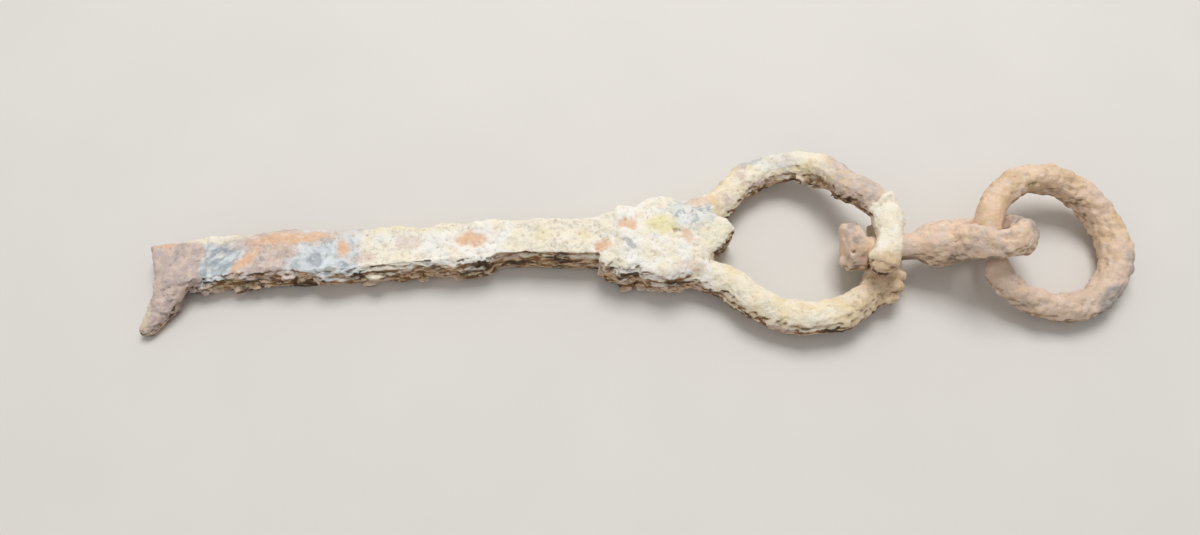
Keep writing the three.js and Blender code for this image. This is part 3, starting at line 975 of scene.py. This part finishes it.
class OBJECT_OT_iron_key_swivel(bpy.types.Operator):
    """Makes the swivel's pin with its eye, and the head that is closed on it"""

    bl_idname = "object.iron_key_swivel"
    bl_label = "Swivel"

    def execute(self, context):
        finish = rusted(
            "swivel_rust", swivel_recipe, side_rust_and_shade=0.7, side_level=0.5, bloom=0.18, specks=0.5
        )
        self.make_pin(finish)
        self.make_head(finish)
        return {"FINISHED"}

    def make_pin(self, finish):
        """The pin with its eye. It ends inside the drum, which is closed over it."""
        inner_end = 35.8
        shaft = cut(copy_of_node("swivel_pin", "pin"), (inner_end, 0, 0), (-1, 0, 0))
        pin = fuse([shaft], "rusted_swivel_pin", 6)
        self.rub_saddle(pin)
        swell(pin, 0.5 * MM, in_eye)

        def out_of_arms(co, normal):
            """Nearly smooth in the arms' hole and in the eye."""
            return smoothstep(co.x, 47, 50) * (0.8 - 0.7 * in_eye(co, normal)) + 0.04

        def round_eye(co, _normal):
            return smoothstep(co.x, 50, 54) * off_wire(co) * 0.6

        roughen(pin, calm=out_of_arms, nodules=round_eye)
        finish_piece(pin, "swivel_pin", "swivel", finish)

    def make_head(self, finish):
        """The drum, whose top is levelled and which keeps clear of the arms as it turns."""
        hubs = [self.hub(6.4, 3, 3.5), self.hub(4.6, 1.8, 2.6)]
        head = fuse([self.head_form(), *hubs], "rusted_swivel_head", 10)
        swell(head, -0.9 * MM, self.groove)
        roughen(
            head,
            calm=lambda co, _normal: smoothstep(co.x, 38.8, 37) * 0.6 + 0.05,
            nodules=lambda co, _normal: smoothstep(co.x, 37.8, 36.4) * 0.4,
        )
        level, clearance = 4.75, 0.3
        push(head, "Y", -1.5, lambda co: co.y + co.z * 0.52 - level)
        push(head, "X", -2, lambda co: along_pin(co) - seat(co) + clearance)
        soften(head, 3)
        soften(head, 6, lambda co, _normal: smoothstep(from_pin(co), 4.6, 5.4))
        finish_piece(head, "swivel_head", "swivel", finish)

    def rub_saddle(self, pin):
        """Sinks the eye's back where the ring's wire has rubbed over it."""
        saddle = near((60.4, -2.6, 13.6), 4.4)
        swell(pin, -1.8 * MM, saddle, "Y")
        swell(pin, -1.1 * MM, saddle, "Z")

    def groove(self, co, normal):
        """A short groove along X on the drum's upper side."""
        across = co.y * 0.89 + co.z * 0.46
        sides = band(co.x, 35.4, 36.2, 0.4) * band(across, -1, -0.8, 0.3)
        return sides * smoothstep(normal.z, 0.2, 0.5)

    def head_form(self):
        """The drum, closed over the pin's end: a little less tall, moved and filled out."""
        head = copy_of_node("swivel_head", "head")

        def shift():
            middle = Vector((36.5, -4, 5.9)) * MM
            bpy.ops.transform.resize(value=(1, 0.9, 0.95), center_override=middle)
            bpy.ops.transform.translate(value=Vector((1.1, 1.1, 0.75)) * MM)

        edit(head, shift)
        swell(head, 0.25 * MM)
        plug = lump((36.4, -3.2, 6.5), (3, 6.6, 6.8))
        corner = lump((35.4, -5.7, 5.6), (2, 2, 2.4))
        rim = lump((37.3, -5.9, 5.8), (3.6, 2.4, 4.6))
        crest = lump((36.1, -0.4, 7.8), (2.9, 3, 3.2))
        return joined([head, plug, corner, rim, crest], "head")

    def hub(self, inwards, depth, radius):
        """A round on the pin's axis that fills the head out towards the hole in the arms."""
        bpy.ops.object.select_all(action="DESELECT")
        bpy.ops.mesh.primitive_cylinder_add(
            radius=radius * MM,
            depth=depth * MM,
            location=(PIN_PLACE - PIN_AXIS * inwards) * MM,
            rotation=PIN_AXIS.to_track_quat("Z", "Y").to_euler(),
        )
        made = bpy.context.object
        bpy.ops.object.transform_apply()
        return made


class OBJECT_OT_iron_key_ring(bpy.types.Operator):
    """Makes the open ring that hangs in the swivel's eye"""

    bl_idname = "object.iron_key_ring"
    bl_label = "Ring"

    def execute(self, context):
        finish = rusted(
            "ring_rust", ring_recipe, side_rust_and_shade=0.7, side_level=0.55, bloom=0.15, specks=0.5
        )
        free_end = (61.5, -8.6, 6.5)
        eye_middle = Vector((60.5, -3.4, 7.7))
        blunt = lump((61.4, -8.3, 6.6), (4.4, 3.6, 4.2), (0, 0, 0.4))
        ring = fuse([copy_of_node("ring", "ring"), blunt], "rusted_ring", 5)
        soften(ring, 20, near(free_end, 4.5))

        def out_of_eye(co, _normal):
            return 0.12 + 0.6 * smoothstep((co - eye_middle).length, 5, 9)

        roughen(ring, calm=out_of_eye, nodules=out_of_eye)
        finish_piece(ring, "ring", "ring", finish)
        return {"FINISHED"}


class OBJECT_OT_iron_key_studio(bpy.types.Operator):
    """Lays the floor, sets the lamps and the sky and places the camera"""

    bl_idname = "object.iron_key_studio"
    bl_label = "Floor, lamps and camera"

    def execute(self, context):
        studio = context.scene.iron_key_studio
        look_at = Vector((-7.51, -1.99, 0)) * MM

        bpy.ops.object.select_all(action="DESELECT")
        bpy.ops.mesh.primitive_plane_add(size=6000 * MM, location=(0, 0, 0))
        floor = context.object
        floor.name = "studio_floor"
        paint = Paint("floor_paint")
        cloud = paint.noise(30, 2).between(0.2, 0.8) * 0.03
        shade = paint.mix(studio.floor, (0, 0, 0), cloud)
        principled = paint.node(
            "ShaderNodeBsdfPrincipled", None, {"Base Color": shade, "Roughness": 0.9}
        )
        floor.data.materials.append(paint.finished(principled))

        self.add_lamp("back_lamp", (50, 280, 550), 300, studio.lamp_power)
        self.add_lamp("front_lamp", (-350, -350, 400), 500, studio.fill_power)

        world = bpy.data.worlds.new("studio_sky")
        context.scene.world = world
        world.use_nodes = True
        background = world.node_tree.nodes["Background"]
        background.inputs["Color"].default_value = (1, 1, 1, 1)
        background.inputs["Strength"].default_value = studio.sky

        turned = Euler((math.pi / 2 - studio.elevation, 0, studio.turn)).to_matrix()
        back = turned @ Vector((0, 0, 1))
        bpy.ops.object.camera_add(location=look_at + back * studio.distance)
        camera = context.object
        camera.name = "camera"
        camera.rotation_euler = turned.to_euler()
        camera.data.sensor_width = 36
        camera.data.lens = studio.lens
        camera.data.clip_start = 10 * MM
        context.scene.camera = camera
        context.scene.view_settings.view_transform = "Standard"
        return {"FINISHED"}

    def add_lamp(self, name, place, size, power):
        """A square lamp that looks at the middle of the key."""
        bpy.ops.object.light_add(type="AREA", location=Vector(place) * MM)
        lamp = bpy.context.object
        lamp.name = name
        lamp.data.size = size * MM
        lamp.data.energy = power
        lamp.rotation_mode = "QUATERNION"
        lamp.rotation_quaternion = (-Vector(place)).to_track_quat("-Z", "Y")


class VIEW3D_PT_iron_key(bpy.types.Panel):
    """Lists the steps and what can be set"""

    bl_idname = "VIEW3D_PT_iron_key"
    bl_label = "Rusted iron key"
    bl_space_type = "VIEW_3D"
    bl_region_type = "UI"
    bl_category = "Iron Key"

    def draw(self, context):
        for step in STEPS:
            self.layout.operator(step.bl_idname)
        for group, kind in GROUPS.items():
            box = self.layout.box()
            for name in kind.__annotations__:
                box.prop(getattr(context.scene, group), name)


STEPS = (
    OBJECT_OT_iron_key_bar,
    OBJECT_OT_iron_key_bow,
    OBJECT_OT_iron_key_swivel,
    OBJECT_OT_iron_key_ring,
    OBJECT_OT_iron_key_studio,
)
GROUPS = {
    "iron_key_surface": IronKeySurface,
    "iron_key_colours": IronKeyColours,
    "iron_key_studio": IronKeyStudio,
}


def register():
    for kind in (*GROUPS.values(), *STEPS, VIEW3D_PT_iron_key):
        bpy.utils.register_class(kind)
    for group, kind in GROUPS.items():
        setattr(bpy.types.Scene, group, bpy.props.PointerProperty(type=kind))


def unregister():
    for group in GROUPS:
        delattr(bpy.types.Scene, group)
    for kind in (VIEW3D_PT_iron_key, *STEPS[::-1], *GROUPS.values()):
        bpy.utils.unregister_class(kind)


def main():
    """Makes every piece and the studio."""
    register()
    bpy.ops.object.iron_key_bar()
    bpy.ops.object.iron_key_bow()
    bpy.ops.object.iron_key_swivel()
    bpy.ops.object.iron_key_ring()
    bpy.ops.object.iron_key_studio()


if __name__ == "__main__":
    main()
